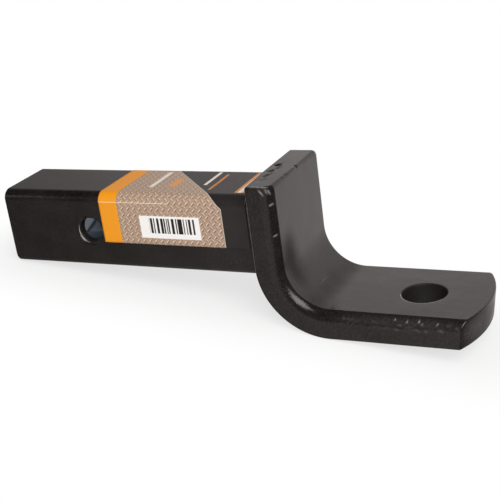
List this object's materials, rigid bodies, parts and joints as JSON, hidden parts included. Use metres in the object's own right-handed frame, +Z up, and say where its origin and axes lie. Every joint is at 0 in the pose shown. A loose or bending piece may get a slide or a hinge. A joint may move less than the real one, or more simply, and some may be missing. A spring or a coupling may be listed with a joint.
{
  "type": "drop hitch bar",
  "caption": "Hollow square shank with a cross-drilled pin hole, welded to a bent flat bar whose lower platform carries a tow ball hole behind a rounded nose.",
  "frame": {"origin": "centre of the hitch pin hole, on the shank's axis", "axes": "+X along the shank towards the ball platform, +Y across the shank along the hitch pin, +Z up"},
  "size_m": [0.3155, 0.0716, 0.0948],
  "materials": {
    "shank_paint": "satin black paint over mill-rolled tube",
    "bar_paint": "satin black paint over hot-rolled flat bar",
    "weld_paint": "satin black paint over a rippled weld bead",
    "label_film": "printed, lightly coated"
  },
  "bodies": {
    "root": {"shank_tube": "shank_paint", "drop_bar": "bar_paint", "weld_bead": "weld_paint", "shank_label": "label_film"}
  },
  "joints": []
}
